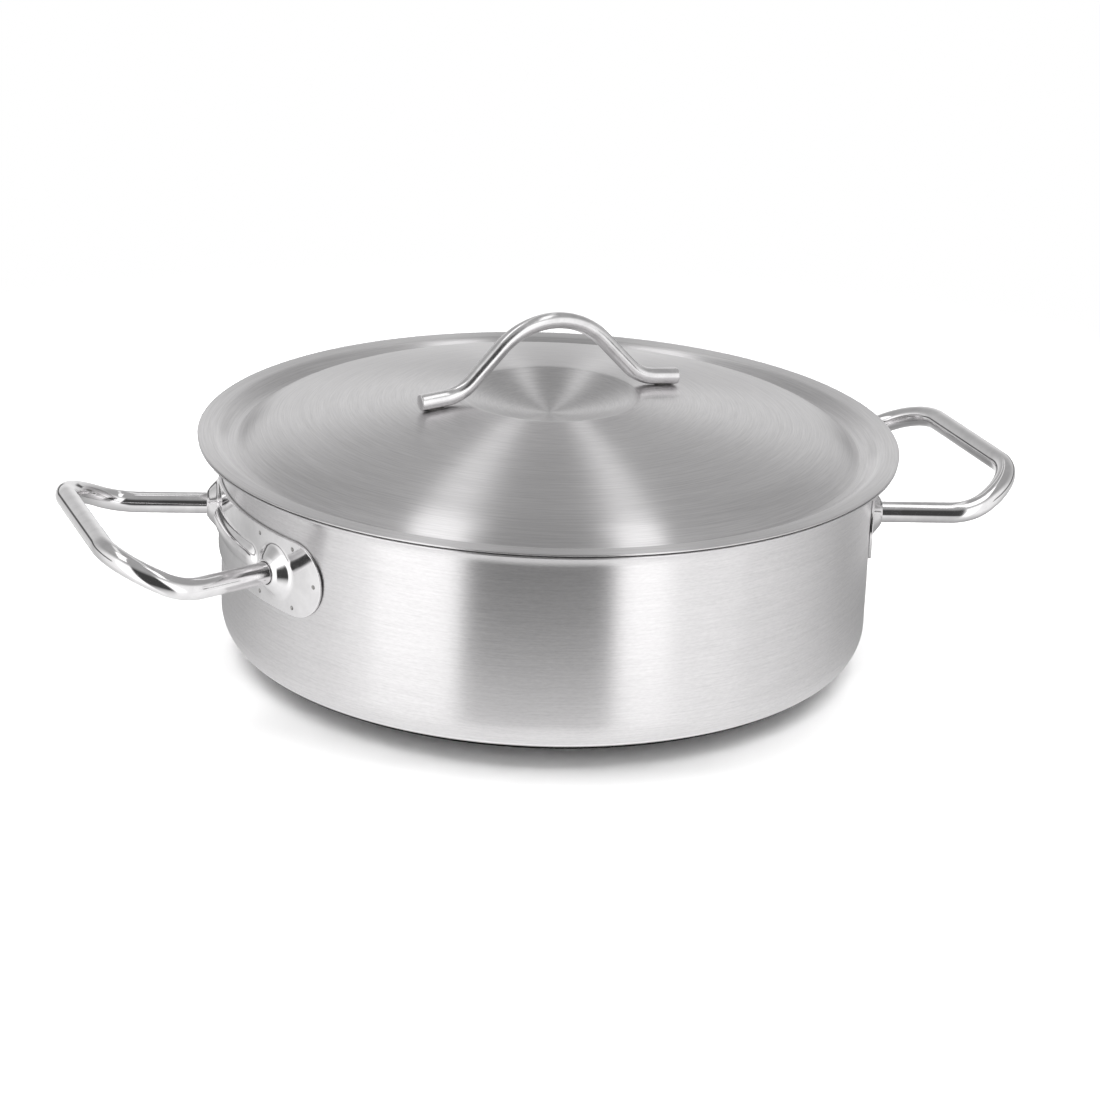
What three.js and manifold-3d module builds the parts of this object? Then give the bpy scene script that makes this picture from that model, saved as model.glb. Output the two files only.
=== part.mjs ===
// Low stainless steel casserole with a loose domed lid.
// Millimetres, +Z up. The origin is on the floor under the middle of the base,
// and the two side handles lie along X.
import * as THREE from "three";
import { mergeVertices } from "three/addons/utils/BufferGeometryUtils.js";
import Module from "manifold-3d";

const wasm = await Module();
wasm.setup();

// Clearance between pieces that touch
const contactGap = 0.3;

// Pot body, one drawn sheet
const wallRadius = 160; // outside of the wall
const wallThickness = 1;
const bodyHeight = 103.6; // underside of the floor to the top of the rim
const cornerRadius = 17; // outside of the turn from floor to wall
const flareRadius = 8; // outside of the turn from wall to rim
const rimOverhang = 11.5; // from the wall to the edge of the pouring rim

// Sandwich base under the floor
const baseInset = 25.5; // from the wall to the edge of the base
const spreaderThickness = 3.5;
const capThickness = 0.8;
const capCornerRadius = 2.4;

// Lid, one pressed sheet
const lidThickness = 0.8;
const lidOverhang = 0.5; // past the edge of the rim
const lidPlay = 2.5; // from the mouth of the pot to the valley of the lid
const stepWidth = 5; // from the flange down to the valley
const valleyWidth = 4;
const valleyDepth = 4.5; // below the flange
const domeFootWidth = 2; // from the valley up to the dome
const domeFootHeight = 1.5; // above the flange
const domeRadius = 560;
const dishRadius = 44;
const dishDepth = 10;
const dishEdgeFillet = 5;
const domeFootFillet = 2;
const valleyFillet = 1.8;
const flangeFillet = 3;
const lidTurn = THREE.MathUtils.degToRad(4); // how the loose lid lies on the rim

// Lid handle, a bent round rod
const rodRadius = 4;
const archRadius = 38;
const archSlope = THREE.MathUtils.degToRad(46);
const archHeight = 33.6; // middle of the rod, feet to arch
const footBendRadius = 22;
const footSetback = 18; // from the dish to the middle of a foot
const footEnd = 7; // from the middle of a foot to the cut end
const lidWeldThickness = 0.6;
const lidWeldLength = 9;
const lidWeldWidth = 3;

// Side handles, bent tube
const tubeRadius = 5;
const tubeWall = 1;
const handleDrop = 37.8; // from the top of the rim to the arms
const handleReach = 72.7; // from the wall to the middle of the grip
const loopCornerRadius = 29;
const gripBendInset = 30.6; // from the middle of the grip back to the upward bend
const gripBendRadius = 25;
const gripAngle = THREE.MathUtils.degToRad(25.7);
const tubeEndGap = 1.3; // from the wall to the end of the tube

// Handle plates, pressed sheet
const plateThickness = 1.2;
const plateHeight = 37;
const bossSpacing = 98; // along the wall, from boss to boss
const plateEndReach = 32.5; // along the wall, from a boss to the end of the plate
const bossBaseRadius = 13;
const bossTipRadius = 6.6;
const bossHeight = 6;
const beadWidth = 10;
const beadHeight = 2.5;
const beadEndOffset = 15.8; // along the wall, from a boss to the end of the bead

// Welds
const spotWeldRadius = 1.5;
const spotWeldTaper = 0.3;
const spotWeldDent = 0.2; // below the face of the plate
const spotWeldRow = 14.5; // above and below the middle of the plate
const spotWeldColumn = 13.3; // along the wall, to both sides of a boss
const spotWeldEdge = 4.7; // from the end of the plate to the outermost weld
const tubeWeldLow = 1.5; // above the face of the plate
const tubeWeldHigh = 4.2;

// Facets
const roundSteps = 52;
const tubeSides = 10;
const tubeSteps = 30;
const rodSteps = 26;
const bossSides = 16;
const weldSides = 12;
const spotSides = 8;
const filletError = 0.35; // from a facet to its round

// Sizes that follow from the ones above
const bodyBottom = capThickness + contactGap + spreaderThickness + contactGap;
const rimTop = bodyBottom + bodyHeight;
const rimRadius = wallRadius + rimOverhang;
const capRadius = wallRadius - baseInset;
const lidRadius = rimRadius + lidOverhang;
const flangeTop = rimTop + contactGap + lidThickness;
const valleyOuterRadius = wallRadius - wallThickness - lidPlay;
const valleyInnerRadius = valleyOuterRadius - valleyWidth;
const flangeInnerRadius = valleyOuterRadius + stepWidth;
const domeFootRadius = valleyInnerRadius - domeFootWidth;
const domeCentre = domeFootHeight - Math.sqrt(domeRadius ** 2 - domeFootRadius ** 2);
const handleHeight = rimTop - handleDrop;
const plateInner = wallRadius + contactGap;
const plateOuter = plateInner + plateThickness;
const bossArc = bossSpacing / 2;
const bossAngle = bossArc / wallRadius;
const plateHalfLength = bossArc + plateEndReach;
const tubeHoleRadius = tubeRadius + contactGap;
const bossSlope = (bossBaseRadius - bossTipRadius) / bossHeight;
const bossSheet = plateThickness * Math.hypot(1, bossSlope); // wall of the boss, square to its axis

// A middle line drawn flat and lifted into space
class SpaceLine extends THREE.Curve {
  constructor(plan, lift) {
    super();
    this.plan = plan;
    this.lift = lift;
  }

  getPoint(t) {
    return this.lift(this.plan.getPoint(t));
  }
}

// Profiles

function corner(r, z, fillet = 0) {
  return { at: new THREE.Vector2(r, z), fillet };
}

// Points of a half section whose corners are rounded by their fillets
function rounded(corners) {
  const points = [];
  corners.forEach(({ at, fillet }, i) => {
    if (fillet === 0) {
      points.push(at);
      return;
    }
    const back = corners[i - 1].at.clone().sub(at).normalize();
    const ahead = corners[i + 1].at.clone().sub(at).normalize();
    const opening = Math.acos(back.dot(ahead));
    const turn = Math.PI - opening;
    const middle = back.clone().add(ahead).normalize();
    const centre = at.clone().addScaledVector(middle, fillet / Math.sin(opening / 2));
    const start = at.clone().addScaledVector(back, fillet / Math.tan(opening / 2)).sub(centre);
    const side = Math.sign(ahead.cross(back));
    const facet = 2 * Math.acos(1 - filletError / fillet);
    const steps = Math.max(1, Math.ceil(turn / facet));
    const origin = new THREE.Vector2();
    for (let k = 0; k <= steps; k++) {
      const spoke = start.clone().rotateAround(origin, (side * turn * k) / steps);
      points.push(spoke.add(centre));
    }
  });
  return points;
}

// The other face of a sheet, to the left of the given face where thickness is positive
function offsetFace(face, thickness) {
  return face.map((point, i) => {
    if (point.x === 0) return new THREE.Vector2(0, point.y + thickness);
    const before = point.clone().sub(face[i - 1]).normalize();
    const after = i + 1 < face.length ? face[i + 1].clone().sub(point).normalize() : before;
    const along = before.clone().add(after).normalize();
    const left = new THREE.Vector2(-along.y, along.x);
    return point.clone().addScaledVector(left, thickness / along.dot(before));
  });
}

// Closed half section of a sheet whose face runs from the axis outwards
function sheetSection(face, thickness) {
  const other = offsetFace(face, thickness);
  return thickness > 0 ? [...face, ...other.reverse()] : [...other, ...face.slice().reverse()];
}

function revolve(section, steps) {
  return new THREE.LatheGeometry(section, steps).rotateX(Math.PI / 2);
}

// Closed body through rings of points, each ring a convex outline
function loft(rings) {
  const count = rings[0].length;
  const index = [];
  for (let i = 0; i + 1 < rings.length; i++) {
    for (let k = 0; k < count; k++) {
      const a = i * count + k;
      const b = i * count + ((k + 1) % count);
      index.push(a, b, b + count, a, b + count, a + count);
    }
  }
  const last = (rings.length - 1) * count;
  for (let k = 1; k + 1 < count; k++) {
    index.push(0, k + 1, k, last, last + k, last + k + 1);
  }
  const positions = rings.flat().flatMap((point) => point.toArray());
  const geometry = new THREE.BufferGeometry();
  geometry.setAttribute("position", new THREE.Float32BufferAttribute(positions, 3));
  geometry.setIndex(index);
  return geometry;
}

// Booleans

function toSolid(geometry) {
  const bare = geometry.clone();
  bare.deleteAttribute("normal");
  bare.deleteAttribute("uv");
  const merged = mergeVertices(bare, 1e-4);
  const corners = merged.index.array;
  const kept = [];
  for (let i = 0; i < corners.length; i += 3) {
    const [a, b, c] = corners.slice(i, i + 3);
    if (a !== b && b !== c && c !== a) kept.push(a, b, c);
  }
  return new wasm.Manifold(
    new wasm.Mesh({
      numProp: 3,
      vertProperties: new Float32Array(merged.attributes.position.array),
      triVerts: new Uint32Array(kept),
    }),
  );
}

function toGeometry(solid) {
  const mesh = solid.getMesh();
  const geometry = new THREE.BufferGeometry();
  geometry.setAttribute("position", new THREE.BufferAttribute(mesh.vertProperties, 3));
  geometry.setIndex(new THREE.BufferAttribute(mesh.triVerts, 1));
  return geometry;
}

// Materials

function brushedSteel() {
  return new THREE.MeshStandardMaterial({ color: 0xc9c8c7, roughness: 0.35, metalness: 1 });
}

function polishedSteel() {
  return new THREE.MeshStandardMaterial({ color: 0xdcdcdd, roughness: 0.12, metalness: 1 });
}

function weldSteel() {
  return new THREE.MeshStandardMaterial({ color: 0x8f8d8b, roughness: 0.5, metalness: 1 });
}

function aluminium() {
  return new THREE.MeshStandardMaterial({ color: 0xb9bbbd, roughness: 0.5, metalness: 1 });
}

function piece(name, geometry, material) {
  const mesh = new THREE.Mesh(geometry, material);
  mesh.name = name;
  return mesh;
}

// Pot and base

function potBody() {
  const flareCentre = wallRadius + flareRadius;
  const lipUnderside = rimTop - wallThickness;
  const outside = rounded([
    corner(0, bodyBottom),
    corner(wallRadius, bodyBottom, cornerRadius),
    corner(wallRadius, lipUnderside, flareRadius),
    corner(Math.max(rimRadius, flareCentre), lipUnderside),
  ]);
  const sheet = revolve(sheetSection(outside, wallThickness), roundSteps);
  return piece("pot_body", sheet, brushedSteel());
}

function baseCap() {
  const underside = rounded([
    corner(0, 0),
    corner(capRadius, 0, capCornerRadius),
    corner(capRadius, bodyBottom - contactGap),
  ]);
  const sheet = revolve(sheetSection(underside, capThickness), roundSteps);
  return piece("base_cap", sheet, brushedSteel());
}

function heatSpreader() {
  const low = capThickness + contactGap;
  const edge = capRadius - capThickness - contactGap;
  const section = [
    new THREE.Vector2(0, low),
    new THREE.Vector2(edge - capCornerRadius, low),
    new THREE.Vector2(edge, low + capCornerRadius),
    new THREE.Vector2(edge, low + spreaderThickness),
    new THREE.Vector2(0, low + spreaderThickness),
  ];
  return piece("heat_spreader", revolve(section, roundSteps), aluminium());
}

// Lid, with z from the top of its flange

function domeHeight(r) {
  return domeCentre + Math.sqrt(domeRadius ** 2 - r ** 2);
}

function lidShell() {
  const dishSteps = 3;
  const domeSteps = 4;
  const dishCentre = domeHeight(dishRadius) - dishDepth;
  const dishSphere = (dishRadius ** 2 + dishDepth ** 2) / (2 * dishDepth);
  const face = [];
  for (let k = 0; k < dishSteps; k++) {
    const r = (dishRadius * k) / dishSteps;
    face.push(corner(r, dishCentre + dishSphere - Math.sqrt(dishSphere ** 2 - r ** 2)));
  }
  face.push(corner(dishRadius, domeHeight(dishRadius), dishEdgeFillet));
  for (let k = 1; k < domeSteps; k++) {
    const r = dishRadius + ((domeFootRadius - dishRadius) * k) / domeSteps;
    face.push(corner(r, domeHeight(r)));
  }
  face.push(corner(domeFootRadius, domeFootHeight, domeFootFillet));
  face.push(corner(valleyInnerRadius, -valleyDepth, valleyFillet));
  face.push(corner(valleyOuterRadius, -valleyDepth, valleyFillet));
  face.push(corner(flangeInnerRadius, 0, flangeFillet));
  face.push(corner(lidRadius, 0));
  const sheet = revolve(sheetSection(rounded(face), -lidThickness), roundSteps);
  return piece("lid_shell", sheet, brushedSteel());
}

// The feet lie on the dome along the tangent at their middle
const footRadius = dishRadius + footSetback;
const footSeat = lidWeldThickness + 2 * contactGap;
const footSlope = Math.asin(footRadius / (domeRadius + footSeat + rodRadius));

function lidHandleLine() {
  const footHeight = domeCentre + (domeRadius + footSeat + rodRadius) * Math.cos(footSlope);
  const apex = footHeight + archHeight;
  const archX = archRadius * Math.sin(archSlope);
  const archZ = apex - archRadius * (1 - Math.cos(archSlope));
  const bendX = footBendRadius * (Math.sin(archSlope) - Math.sin(footSlope));
  const bendZ = footBendRadius * (Math.cos(footSlope) - Math.cos(archSlope));
  const drop = archZ - bendZ - footHeight + (archX + bendX - footRadius) * Math.tan(footSlope);
  const straight = drop / (Math.sin(archSlope) - Math.cos(archSlope) * Math.tan(footSlope));
  const bendCentreX = archX + straight * Math.cos(archSlope) + footBendRadius * Math.sin(archSlope);
  const bendCentreZ = archZ - straight * Math.sin(archSlope) + footBendRadius * Math.cos(archSlope);
  const footX = bendCentreX - footBendRadius * Math.sin(footSlope);
  const footZ = bendCentreZ - footBendRadius * Math.cos(footSlope);
  const endX = footRadius + footEnd * Math.cos(footSlope);
  const endZ = footHeight - footEnd * Math.sin(footSlope);
  const down = -Math.PI / 2;
  const up = Math.PI / 2;
  const plan = new THREE.Path();
  plan.moveTo(-endX, endZ);
  plan.lineTo(-footX, footZ);
  plan.absarc(-bendCentreX, bendCentreZ, footBendRadius, down + footSlope, down + archSlope, false);
  plan.absarc(0, apex - archRadius, archRadius, up + archSlope, up - archSlope, true);
  plan.absarc(bendCentreX, bendCentreZ, footBendRadius, down - archSlope, down - footSlope, false);
  plan.lineTo(endX, endZ);
  return new SpaceLine(plan, ({ x, y }) => new THREE.Vector3(x, 0, y));
}

function lidHandle() {
  const section = new THREE.Shape().absarc(0, 0, rodRadius, 0, 2 * Math.PI);
  const geometry = new THREE.ExtrudeGeometry(section, {
    extrudePath: lidHandleLine(),
    steps: rodSteps,
    curveSegments: tubeSides / 2,
  });
  return piece("lid_handle", geometry, polishedSteel());
}

function lidWeld(name, side) {
  const half = (lidWeldLength - lidWeldWidth) / 2;
  const outline = new THREE.Shape();
  outline.absarc(half, 0, lidWeldWidth / 2, -Math.PI / 2, Math.PI / 2);
  outline.absarc(-half, 0, lidWeldWidth / 2, Math.PI / 2, (3 * Math.PI) / 2);
  const geometry = new THREE.ExtrudeGeometry(outline, {
    depth: lidWeldThickness,
    bevelEnabled: false,
    curveSegments: spotSides / 4,
  });
  geometry.translate(0, 0, domeRadius + contactGap);
  geometry.rotateY(side * footSlope);
  geometry.translate(0, 0, domeCentre);
  return piece(name, geometry, weldSteel());
}

function lid() {
  const group = new THREE.Group();
  group.add(lidShell(), lidHandle(), lidWeld("lid_weld_left", -1), lidWeld("lid_weld_right", 1));
  group.position.z = flangeTop;
  group.rotation.z = lidTurn;
  return group;
}

// Side handle, drawn for the +X side with z from the middle of its arms

// Height of the tube's middle line: level arms, then a grip that bends upwards
function gripRise(x) {
  const hinge = wallRadius + handleReach - gripBendInset;
  const start = hinge - gripBendRadius * Math.tan(gripAngle / 2);
  const end = start + gripBendRadius * Math.sin(gripAngle);
  if (x < start) return 0;
  if (x > end) return (x - hinge) * Math.tan(gripAngle);
  return gripBendRadius - Math.sqrt(gripBendRadius ** 2 - (x - start) ** 2);
}

// Arms that run straight out of the wall, round corners and a straight grip
function loopLine() {
  const gripX = wallRadius + handleReach;
  const cornerY = gripX * Math.tan(bossAngle);
  const halfTurn = (Math.PI / 2 + bossAngle) / 2;
  const gripHalf = cornerY - loopCornerRadius * Math.tan(halfTurn);
  const centreX = gripX - loopCornerRadius;
  const armStart = wallRadius + tubeEndGap;
  const armX = armStart * Math.cos(bossAngle);
  const armY = armStart * Math.sin(bossAngle);
  const armSide = Math.PI / 2 + bossAngle;
  const bendX = centreX + loopCornerRadius * Math.cos(armSide);
  const bendY = gripHalf + loopCornerRadius * Math.sin(armSide);
  const plan = new THREE.Path();
  plan.moveTo(armX, -armY);
  plan.lineTo(bendX, -bendY);
  plan.absarc(centreX, -gripHalf, loopCornerRadius, -armSide, 0, false);
  plan.absarc(centreX, gripHalf, loopCornerRadius, 0, armSide, false);
  plan.lineTo(armX, armY);
  return new SpaceLine(plan, ({ x, y }) => new THREE.Vector3(x, y, gripRise(x)));
}

function handleTube(name) {
  const section = new THREE.Shape().absarc(0, 0, tubeRadius, 0, 2 * Math.PI);
  section.holes.push(new THREE.Path().absarc(0, 0, tubeRadius - tubeWall, 0, 2 * Math.PI, true));
  const geometry = new THREE.ExtrudeGeometry(section, {
    extrudePath: loopLine(),
    steps: tubeSteps,
    curveSegments: tubeSides / 2,
  });
  return piece(name, geometry, polishedSteel());
}

// Point on a surface wrapped round the wall, from an arc length along the wall
function onWall(arc, radius, z) {
  const angle = arc / wallRadius;
  return new THREE.Vector3(radius * Math.cos(angle), radius * Math.sin(angle), z);
}

// Puts a body made along +Z on the wall, so that its own z starts at the given radius
function squareToWall(geometry, arc, radius, z = 0) {
  geometry.rotateY(Math.PI / 2);
  geometry.translate(radius, 0, z);
  return geometry.rotateZ(arc / wallRadius);
}

// Sheet with round ends, wrapped round the wall
function plateSheet() {
  const endRadius = plateHeight / 2;
  const straightHalf = plateHalfLength - endRadius;
  const endSteps = 4;
  const straightSteps = 12;
  const half = [];
  for (let k = 0; k < endSteps; k++) {
    const angle = ((k + 0.5) / endSteps) * (Math.PI / 2);
    half.push([straightHalf + endRadius * Math.cos(angle), endRadius * Math.sin(angle)]);
  }
  const stations = half.map(([arc, height]) => [-arc, height]);
  for (let k = 0; k <= straightSteps; k++) {
    stations.push([straightHalf * ((2 * k) / straightSteps - 1), endRadius]);
  }
  stations.push(...half.reverse());
  const rings = stations.map(([arc, height]) => [
    onWall(arc, plateInner, -height),
    onWall(arc, plateInner, height),
    onWall(arc, plateOuter, height),
    onWall(arc, plateOuter, -height),
  ]);
  return loft(rings);
}

// Half-round bead with round ends, its foot sunk below the given radius
function beadBody(radius, halfWidth, sink) {
  const endSteps = 3;
  const straightSteps = 5;
  const crownSteps = 4;
  const straightHalf = bossArc - beadEndOffset - beadWidth / 2;
  const stations = [];
  for (let k = 0; k < endSteps; k++) {
    const angle = ((k + 0.5) / endSteps) * (Math.PI / 2);
    stations.push([-straightHalf - halfWidth * Math.cos(angle), Math.sin(angle)]);
  }
  for (let k = 0; k <= straightSteps; k++) {
    stations.push([straightHalf * ((2 * k) / straightSteps - 1), 1]);
  }
  for (let k = endSteps - 1; k >= 0; k--) {
    stations.push([-stations[k][0], stations[k][1]]);
  }
  const rings = stations.map(([arc, swell]) => {
    const reach = halfWidth * swell;
    const ring = [onWall(arc, radius - sink, -reach), onWall(arc, radius - sink, reach)];
    for (let k = 0; k <= crownSteps; k++) {
      const angle = Math.PI * (0.5 - k / crownSteps);
      const rise = beadHeight * swell * Math.cos(angle);
      ring.push(onWall(arc, radius + rise, reach * Math.sin(angle)));
    }
    return ring;
  });
  return loft(rings);
}

function bossRadiusAt(height) {
  return bossTipRadius + (bossHeight - height) * bossSlope;
}

// Outside of a boss, rooted in the sheet
function bossOutside(arc) {
  const rootMargin = 0.2;
  const root = -(bossBaseRadius ** 2) / (2 * plateOuter) - rootMargin;
  const section = [
    new THREE.Vector2(0, root),
    new THREE.Vector2(bossRadiusAt(root), root),
    new THREE.Vector2(bossTipRadius, bossHeight),
    new THREE.Vector2(0, bossHeight),
  ];
  return squareToWall(revolve(section, bossSides), arc, plateOuter);
}

// Hollow of a boss, with the hole that the tube goes through
function bossInside(arc) {
  const root = -2 * plateThickness - contactGap;
  const neck = bossHeight + (bossTipRadius - bossSheet - tubeHoleRadius) / bossSlope;
  const past = bossHeight + plateThickness;
  const section = [
    new THREE.Vector2(0, root),
    new THREE.Vector2(bossRadiusAt(root) - bossSheet, root),
    new THREE.Vector2(tubeHoleRadius, neck),
    new THREE.Vector2(tubeHoleRadius, past),
    new THREE.Vector2(0, past),
  ];
  return squareToWall(revolve(section, bossSides), arc, plateOuter);
}

// Places of the spot welds on one plate: four round each boss and one at each end
function spotWeldPlaces() {
  const places = [];
  for (const side of [-1, 1]) {
    for (const column of [-spotWeldColumn, spotWeldColumn]) {
      for (const row of [-spotWeldRow, spotWeldRow]) {
        places.push([side * bossArc + column, row]);
      }
    }
    places.push([side * (plateHalfLength - spotWeldEdge), 0]);
  }
  return places;
}

function spotWeldHole([arc, row]) {
  const radius = spotWeldRadius + contactGap;
  const depth = 4 * plateThickness;
  const hole = new THREE.CylinderGeometry(radius, radius, depth, spotSides).rotateX(Math.PI / 2);
  return squareToWall(hole, arc, plateOuter, row);
}

function handlePlate(name) {
  const bead = beadBody(plateOuter, beadWidth / 2, plateThickness / 2);
  const beadHollow = beadBody(plateInner, beadWidth / 2 - plateThickness, plateThickness);
  let solid = toSolid(plateSheet()).add(toSolid(bead)).subtract(toSolid(beadHollow));
  for (const side of [-1, 1]) {
    solid = solid.add(toSolid(bossOutside(side * bossArc)));
    solid = solid.subtract(toSolid(bossInside(side * bossArc)));
  }
  for (const place of spotWeldPlaces()) {
    solid = solid.subtract(toSolid(spotWeldHole(place)));
  }
  return piece(name, toGeometry(solid), polishedSteel());
}

function spotWeld(name, [arc, row]) {
  const height = plateOuter - spotWeldDent - plateInner;
  const topRadius = spotWeldRadius - spotWeldTaper;
  const geometry = new THREE.CylinderGeometry(topRadius, spotWeldRadius, height, spotSides);
  geometry.rotateX(Math.PI / 2);
  geometry.translate(0, 0, height / 2);
  return piece(name, squareToWall(geometry, arc, plateInner, row), weldSteel());
}

// Ring of weld between the tube and the hollow of its boss
function tubeWeld(name, side) {
  const clear = contactGap * Math.hypot(1, bossSlope);
  const section = [
    new THREE.Vector2(tubeHoleRadius, tubeWeldLow),
    new THREE.Vector2(bossRadiusAt(tubeWeldLow) - bossSheet - clear, tubeWeldLow),
    new THREE.Vector2(bossRadiusAt(tubeWeldHigh) - bossSheet - clear, tubeWeldHigh),
    new THREE.Vector2(tubeHoleRadius, tubeWeldHigh),
    new THREE.Vector2(tubeHoleRadius, tubeWeldLow),
  ];
  const ring = squareToWall(revolve(section, weldSides), side * bossArc, plateOuter);
  return piece(name, ring, weldSteel());
}

// The front of the pot faces -Y: the handle turned half round has its front weld on its own +Y side
function sideHandle(hand, turn) {
  const group = new THREE.Group();
  const frontSide = -Math.cos(turn);
  group.add(handlePlate(`${hand}_handle_plate`), handleTube(`${hand}_handle_tube`));
  group.add(tubeWeld(`${hand}_tube_weld_front`, frontSide));
  group.add(tubeWeld(`${hand}_tube_weld_back`, -frontSide));
  spotWeldPlaces().forEach((place, i) => {
    group.add(spotWeld(`${hand}_spot_weld_${String(i + 1).padStart(2, "0")}`, place));
  });
  group.position.z = handleHeight;
  group.rotation.z = turn;
  return group;
}

const casserole = new THREE.Group();
casserole.add(potBody(), heatSpreader(), baseCap(), lid());
casserole.add(sideHandle("right", 0), sideHandle("left", Math.PI));

export default casserole;
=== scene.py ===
import math

import bmesh
import bpy
from mathutils import Matrix, Vector


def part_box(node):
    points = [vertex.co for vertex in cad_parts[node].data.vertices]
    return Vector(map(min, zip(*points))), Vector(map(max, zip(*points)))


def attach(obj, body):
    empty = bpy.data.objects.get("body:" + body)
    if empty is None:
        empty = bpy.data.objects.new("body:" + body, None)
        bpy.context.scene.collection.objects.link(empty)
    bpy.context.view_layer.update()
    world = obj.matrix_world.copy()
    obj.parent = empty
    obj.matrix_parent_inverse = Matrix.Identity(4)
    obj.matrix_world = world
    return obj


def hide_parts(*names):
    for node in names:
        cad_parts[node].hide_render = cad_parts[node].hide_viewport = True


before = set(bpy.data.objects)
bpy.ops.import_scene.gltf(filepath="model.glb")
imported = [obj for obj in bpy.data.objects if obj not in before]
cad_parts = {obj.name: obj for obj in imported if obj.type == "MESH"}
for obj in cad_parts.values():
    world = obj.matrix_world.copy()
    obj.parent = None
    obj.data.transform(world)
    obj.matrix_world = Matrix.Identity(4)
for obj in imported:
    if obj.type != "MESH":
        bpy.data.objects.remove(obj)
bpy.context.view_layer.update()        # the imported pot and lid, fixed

scene = bpy.context.scene
mm = 0.001
halfTurn = math.pi
fullTurn = 2 * math.pi
onePlace = 0.5e-6        # in metres; points nearer than this share a place


# small tools for meshes

def addPiece(name, mesh):
    piece = bpy.data.objects.new(name, mesh)
    scene.collection.objects.link(piece)
    return piece


def facesOut(mesh, nearest=0):
    # merges points that share a place, and turns a closed mesh's faces outwards
    work = bmesh.new()
    work.from_mesh(mesh)
    if nearest:
        bmesh.ops.remove_doubles(work, verts=work.verts, dist=nearest)
    if work.calc_volume(signed=True) < 0:
        bmesh.ops.reverse_faces(work, faces=work.faces)
    work.to_mesh(mesh)
    work.free()


def meshFrom(name, points, faces):
    mesh = bpy.data.meshes.new(name)
    mesh.from_pydata(points, [], faces)
    facesOut(mesh, onePlace)
    return mesh


def shadeSoft(mesh, creaseAngle):        # in degrees
    mesh.shade_smooth()
    mesh.set_sharp_from_angle(angle=math.radians(creaseAngle))


def bakeModifiers(piece):
    # what the modifiers make becomes the piece's own plain mesh
    evaluated = piece.evaluated_get(bpy.context.evaluated_depsgraph_get())
    mesh = bpy.data.meshes.new_from_object(evaluated)
    mesh.name = piece.name
    piece.modifiers.clear()
    piece.data = mesh


def dress(node, finish):
    # a part of the pack that keeps its own mesh gets a finish
    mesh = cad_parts[node].data
    mesh.materials.clear()
    mesh.materials.append(finish)


def filletPath(corners, arcStep):
    # straight stretches with rounded corners; a corner is (r, z, fillet)
    path = []
    for i, (r, z, fillet) in enumerate(corners):
        at = Vector((r, z))
        if not fillet:
            path.append(at)
            continue
        back = (Vector(corners[i - 1][:2]) - at).normalized()
        ahead = (Vector(corners[i + 1][:2]) - at).normalized()
        opening = back.angle(ahead)
        turn = halfTurn - opening
        centre = at + (back + ahead).normalized() * (fillet / math.sin(opening / 2))
        spoke = at + back * (fillet / math.tan(opening / 2)) - centre
        side = 1 if ahead.x * back.y > ahead.y * back.x else -1
        steps = max(2, math.ceil(turn / arcStep))
        for k in range(steps + 1):
            path.append(centre + Matrix.Rotation(side * turn * k / steps, 2) @ spoke)
    return path


def splitLong(path, longest):
    fine = [path[0]]
    for b in path[1:]:
        a = fine[-1]
        gap = (b - a).length
        if gap < 2 * onePlace:
            continue
        parts = math.ceil(gap / longest)
        fine += [a.lerp(b, k / parts) for k in range(1, parts + 1)]
    return fine


def sheetOutline(face, thickness, edgeSteps):
    # half section of a sheet with a round free edge; face runs from the axis outwards,
    # and the other face lies to its left where the thickness is positive
    other = []
    for i, point in enumerate(face):
        before = (point - face[i - 1]).normalized() if i else Vector((1, 0))
        after = (face[i + 1] - point).normalized() if 0 < i < len(face) - 1 else before
        along = (before + after).normalized()
        left = Vector((-along.y, along.x))
        other.append(point + left * (thickness / along.dot(before)))
    middle = (face[-1] + other[-1]) / 2
    spoke = face[-1] - middle
    edge = []
    for k in range(1, edgeSteps):
        angle = halfTurn * k / edgeSteps
        edge.append(middle + spoke * math.cos(angle) + along * (spoke.length * math.sin(angle)))
    return face + edge + other[::-1]


def lathe(name, outline, sides):
    # outline starts and ends on the axis; "across" is the length along it, for brushed finishes
    points, across, rings = [], [], []
    length = 0
    for i, (r, z) in enumerate(outline):
        length += (outline[i] - outline[i - 1]).length if i else 0
        count = 1 if r < onePlace else sides
        rings.append(range(len(points), len(points) + count))
        for k in range(count):
            angle = fullTurn * k / sides
            points.append((r * math.cos(angle), r * math.sin(angle), z))
            across.append(length)
    faces = []
    for low, high in zip(rings, rings[1:]):
        for k in range(sides):
            ahead = (k + 1) % sides
            if len(low) == 1:
                faces.append((low[0], high[ahead], high[k]))
            elif len(high) == 1:
                faces.append((low[k], low[ahead], high[0]))
            else:
                faces.append((low[k], low[ahead], high[ahead], high[k]))
    mesh = bpy.data.meshes.new(name)
    mesh.from_pydata(points, [], faces)
    mesh.attributes.new("across", "FLOAT", "POINT").data.foreach_set("value", across)
    facesOut(mesh)
    mesh.shade_smooth()
    return mesh


# node tools

def addSocket(tree, name, kind, value=None, out=False):
    socket = tree.interface.new_socket(name, in_out="OUTPUT" if out else "INPUT", socket_type=kind)
    if value is not None:
        socket.default_value = value


def addNode(tree, kind, **settings):
    node = tree.nodes.new(kind)
    for key, value in settings.items():
        setattr(node, key, value)
    return node


def groupEnds(tree):
    return tree.nodes.new("NodeGroupInput"), tree.nodes.new("NodeGroupOutput")


def objectPlace(tree):
    return addNode(tree, "ShaderNodeTexCoord").outputs["Object"]


def joinUp(tree, *pairs):
    for source, socket in pairs:
        tree.links.new(source, socket)


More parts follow.
